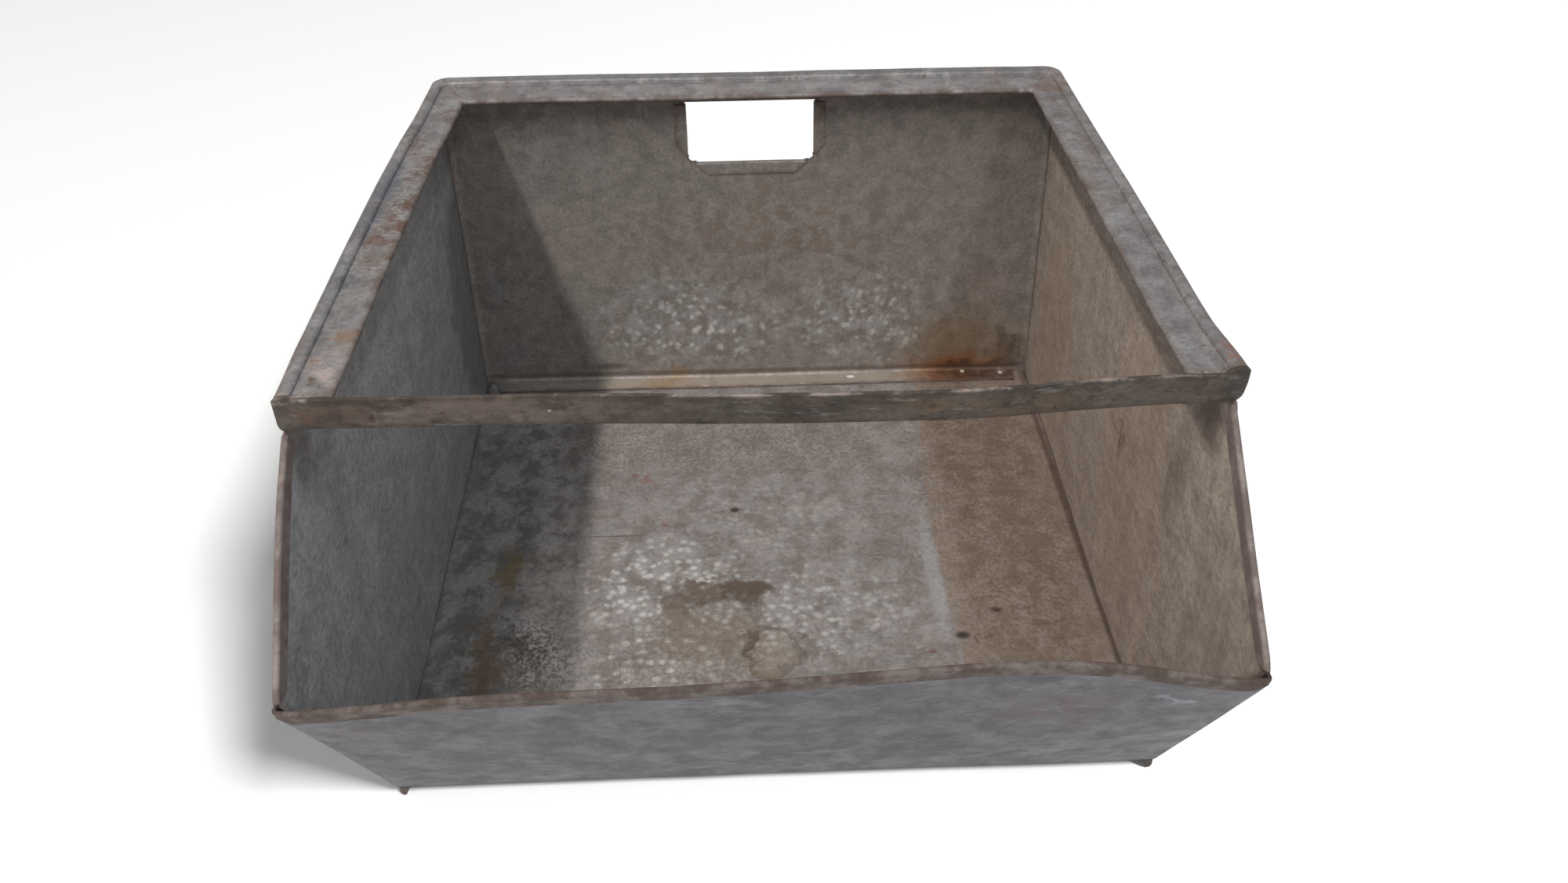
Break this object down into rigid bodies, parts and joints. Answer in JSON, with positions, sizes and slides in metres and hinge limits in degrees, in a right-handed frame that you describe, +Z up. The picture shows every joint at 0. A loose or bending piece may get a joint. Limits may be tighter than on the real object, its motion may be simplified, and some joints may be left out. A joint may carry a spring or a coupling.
{
  "type": "stackable open-front storage bin",
  "caption": "Sheet-steel storage bin with an open sloped front, outward-leaning lip, crossbar, stacking ledge rim, rear hand hole and folded runners underneath.",
  "frame": {"origin": "on the floor under the middle of the bin's outer box", "axes": "+Z up, -Y towards the open picking front, +X to the right of someone facing the front"},
  "size_m": [0.4004, 0.4503, 0.245],
  "materials": {
    "galvanised_sheet": "dull weathered zinc with rust marks",
    "worn_rim_steel": "zinc rubbed pale on the ledge, brown rust on the edges",
    "weld_metal": "dark burnt weld marks"
  },
  "bodies": {
    "root": {"floor_and_lip": "galvanised_sheet", "back_panel": "galvanised_sheet", "side_panel_left": "galvanised_sheet", "side_panel_right": "galvanised_sheet", "rim_rail_left": "worn_rim_steel", "rim_rail_right": "worn_rim_steel", "rim_rail_back": "worn_rim_steel", "crossbar": "worn_rim_steel", "runner_left": "galvanised_sheet", "runner_right": "galvanised_sheet", "crossbar_welds": "weld_metal", "rim_corner_welds": "weld_metal", "lip_corner_welds": "weld_metal", "back_skirt_spot_welds": "weld_metal", "foot_flange_spot_welds": "weld_metal", "back_flange_spot_welds_left": "weld_metal", "back_flange_spot_welds_right": "weld_metal", "floor_flange_spot_welds_left": "weld_metal", "floor_flange_spot_welds_right": "weld_metal", "skirt_spot_welds_left": "weld_metal", "skirt_spot_welds_right": "weld_metal", "runner_stitch_welds_left": "weld_metal", "runner_stitch_welds_right": "weld_metal"}
  },
  "joints": []
}
